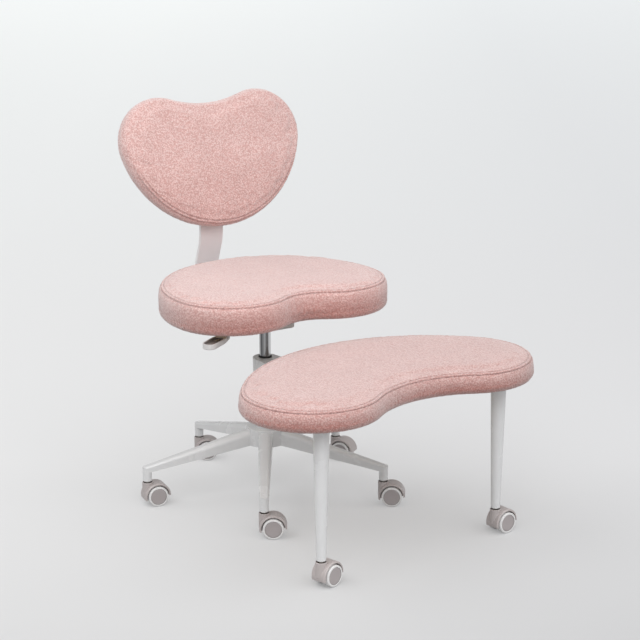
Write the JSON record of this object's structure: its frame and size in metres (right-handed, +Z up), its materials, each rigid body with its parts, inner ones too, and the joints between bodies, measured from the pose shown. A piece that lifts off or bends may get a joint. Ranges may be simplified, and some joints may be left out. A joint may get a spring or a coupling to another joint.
{
  "type": "cross-legged office chair",
  "caption": "Office chair with a kidney-shaped seat, a heart-shaped backrest and a wide kidney-shaped leg rest that swings round the gas column on its own casters.",
  "frame": {"origin": "on the gas column's axis at the floor", "axes": "+Z up, the seat faces -Y, the sitter's right hand is on the -X side"},
  "size_m": [0.7705, 0.9799, 0.9654],
  "materials": {
    "pink_fabric": "curly pile",
    "white_paint": "gloss",
    "bar_paint": "satin",
    "plate_paint": "satin",
    "chrome": "polished",
    "black_plastic": "matte",
    "bush_plastic": "matte",
    "taupe_plastic": "satin",
    "tread_white": "satin",
    "handle_plastic": "satin",
    "steel": "bright",
    "plywood": "raw plywood"
  },
  "bodies": {
    "base": {"base_hub": "white_paint", "base_arm_1": "white_paint", "base_arm_2": "white_paint", "base_arm_3": "white_paint", "base_arm_4": "white_paint", "base_arm_5": "white_paint", "arm_bolts": "steel", "column_tube": "white_paint", "column_guide": "black_plastic", "base_caster_stems": "steel"},
    "gas_rod": {"piston_rod": "steel", "thrust_bearing": "steel", "rod_clip": "steel"},
    "seat": {"pressure_cylinder": "chrome", "seat_plate": "plate_paint", "seat_board": "plywood", "seat_cushion": "pink_fabric", "seat_bolts": "steel", "back_bar": "bar_paint", "back_board": "plywood", "back_cushion": "pink_fabric"},
    "lever": {"lift_lever": "steel", "lever_handle": "handle_plastic"},
    "valve_pin": {"release_pin": "steel"},
    "leg_rest": {"pivot_arm": "white_paint", "pivot_bush": "bush_plastic", "rest_board": "plywood", "rest_cushion": "pink_fabric", "rest_leg_1": "white_paint", "rest_leg_2": "white_paint", "rest_bolts": "steel", "rest_caster_stems": "steel"},
    "caster_1": {"caster_1_hood": "taupe_plastic", "caster_1_axle": "steel"},
    "caster_1_left": {"caster_1_wheel_left": "tread_white"},
    "caster_1_right": {"caster_1_wheel_right": "tread_white"},
    "caster_2": {"caster_2_hood": "taupe_plastic", "caster_2_axle": "steel"},
    "caster_2_left": {"caster_2_wheel_left": "tread_white"},
    "caster_2_right": {"caster_2_wheel_right": "tread_white"},
    "caster_3": {"caster_3_hood": "taupe_plastic", "caster_3_axle": "steel"},
    "caster_3_left": {"caster_3_wheel_left": "tread_white"},
    "caster_3_right": {"caster_3_wheel_right": "tread_white"},
    "caster_4": {"caster_4_hood": "taupe_plastic", "caster_4_axle": "steel"},
    "caster_4_left": {"caster_4_wheel_left": "tread_white"},
    "caster_4_right": {"caster_4_wheel_right": "tread_white"},
    "caster_5": {"caster_5_hood": "taupe_plastic", "caster_5_axle": "steel"},
    "caster_5_left": {"caster_5_wheel_left": "tread_white"},
    "caster_5_right": {"caster_5_wheel_right": "tread_white"},
    "caster_6": {"caster_6_hood": "taupe_plastic", "caster_6_axle": "steel"},
    "caster_6_left": {"caster_6_wheel_left": "tread_white"},
    "caster_6_right": {"caster_6_wheel_right": "tread_white"},
    "caster_7": {"caster_7_hood": "taupe_plastic", "caster_7_axle": "steel"},
    "caster_7_left": {"caster_7_wheel_left": "tread_white"},
    "caster_7_right": {"caster_7_wheel_right": "tread_white"}
  },
  "joints": [
    {"name": "seat_swivel", "type": "hinge", "parent": "base", "child": "gas_rod", "pos_m": [0, 0, 0.136], "axis": [0, 0, 1], "continuous": true},
    {"name": "seat_lift", "type": "slide", "parent": "gas_rod", "child": "seat", "axis": [0, 0, 1], "range_m": [0, 0.08]},
    {"name": "lever_pivot", "type": "hinge", "parent": "seat", "child": "lever", "pos_m": [-0.03201, -0.02047, 0.46297], "axis": [-0.5388, 0.8425, 0], "range_deg": [0, 3.2], "stiffness_Nm_per_rad": 1},
    {"name": "pin_press", "type": "slide", "parent": "seat", "child": "valve_pin", "axis": [0, 0, 1], "range_m": [-0.0023, 0]},
    {"name": "rest_swivel", "type": "hinge", "parent": "base", "child": "leg_rest", "pos_m": [0, 0, 0.3], "axis": [0, 0, 1], "continuous": true},
    {"name": "caster_1_swivel", "type": "hinge", "parent": "base", "child": "caster_1", "pos_m": [-0.1628, -0.25555, 0.05], "axis": [0, 0, 1], "continuous": true},
    {"name": "caster_1_left_spin", "type": "hinge", "parent": "caster_1", "child": "caster_1_left", "pos_m": [-0.1449, -0.26652, 0.025], "axis": [0.5225, 0.8526, 0], "continuous": true},
    {"name": "caster_1_right_spin", "type": "hinge", "parent": "caster_1", "child": "caster_1_right", "pos_m": [-0.1449, -0.26652, 0.025], "axis": [0.5225, 0.8526, 0], "continuous": true},
    {"name": "caster_2_swivel", "type": "hinge", "parent": "base", "child": "caster_2", "pos_m": [0.19273, -0.2338, 0.05], "axis": [0, 0, 1], "continuous": true},
    {"name": "caster_2_left_spin", "type": "hinge", "parent": "caster_2", "child": "caster_2_left", "pos_m": [0.20961, -0.24629, 0.025], "axis": [0.5948, 0.8039, 0], "continuous": true},
    {"name": "caster_2_right_spin", "type": "hinge", "parent": "caster_2", "child": "caster_2_right", "pos_m": [0.20961, -0.24629, 0.025], "axis": [0.5948, 0.8039, 0], "continuous": true},
    {"name": "caster_3_swivel", "type": "hinge", "parent": "base", "child": "caster_3", "pos_m": [0.28192, 0.11105, 0.05], "axis": [0, 0, 1], "continuous": true},
    {"name": "caster_3_left_spin", "type": "hinge", "parent": "caster_3", "child": "caster_3_left", "pos_m": [0.29351, 0.09354, 0.025], "axis": [0.8339, 0.5519, 0], "continuous": true},
    {"name": "caster_3_right_spin", "type": "hinge", "parent": "caster_3", "child": "caster_3_right", "pos_m": [0.29351, 0.09354, 0.025], "axis": [0.8339, 0.5519, 0], "continuous": true},
    {"name": "caster_4_swivel", "type": "hinge", "parent": "base", "child": "caster_4", "pos_m": [-0.0185, 0.30244, 0.05], "axis": [0, 0, 1], "continuous": true},
    {"name": "caster_4_left_spin", "type": "hinge", "parent": "caster_4", "child": "caster_4_left", "pos_m": [-0.00022, 0.29209, 0.025], "axis": [0.4924, 0.8704, 0], "continuous": true},
    {"name": "caster_4_right_spin", "type": "hinge", "parent": "caster_4", "child": "caster_4_right", "pos_m": [-0.00022, 0.29209, 0.025], "axis": [0.4924, 0.8704, 0], "continuous": true},
    {"name": "caster_5_swivel", "type": "hinge", "parent": "base", "child": "caster_5", "pos_m": [-0.29335, 0.07587, 0.05], "axis": [0, 0, 1], "continuous": true},
    {"name": "caster_5_left_spin", "type": "hinge", "parent": "caster_5", "child": "caster_5_left", "pos_m": [-0.27264, 0.0724, 0.025], "axis": [0.165, 0.9863, 0], "continuous": true},
    {"name": "caster_5_right_spin", "type": "hinge", "parent": "caster_5", "child": "caster_5_right", "pos_m": [-0.27264, 0.0724, 0.025], "axis": [0.165, 0.9863, 0], "continuous": true},
    {"name": "caster_6_swivel", "type": "hinge", "parent": "leg_rest", "child": "caster_6", "pos_m": [-0.21265, -0.57481, 0.05], "axis": [0, 0, 1], "continuous": true},
    {"name": "caster_6_left_spin", "type": "hinge", "parent": "caster_6", "child": "caster_6_left", "pos_m": [-0.19241, -0.5692, 0.025], "axis": [-0.2672, 0.9636, 0], "continuous": true},
    {"name": "caster_6_right_spin", "type": "hinge", "parent": "caster_6", "child": "caster_6_right", "pos_m": [-0.19241, -0.5692, 0.025], "axis": [-0.2672, 0.9636, 0], "continuous": true},
    {"name": "caster_7_swivel", "type": "hinge", "parent": "leg_rest", "child": "caster_7", "pos_m": [0.30553, -0.5313, 0.05], "axis": [0, 0, 1], "continuous": true},
    {"name": "caster_7_left_spin", "type": "hinge", "parent": "caster_7", "child": "caster_7_left", "pos_m": [0.32643, -0.52929, 0.025], "axis": [-0.0958, 0.9954, 0], "continuous": true},
    {"name": "caster_7_right_spin", "type": "hinge", "parent": "caster_7", "child": "caster_7_right", "pos_m": [0.32643, -0.52929, 0.025], "axis": [-0.0958, 0.9954, 0], "continuous": true}
  ],
  "couplings": [
    {"joint": "pin_press", "follows": "lever_pivot", "m_per_rad": -0.038}
  ]
}
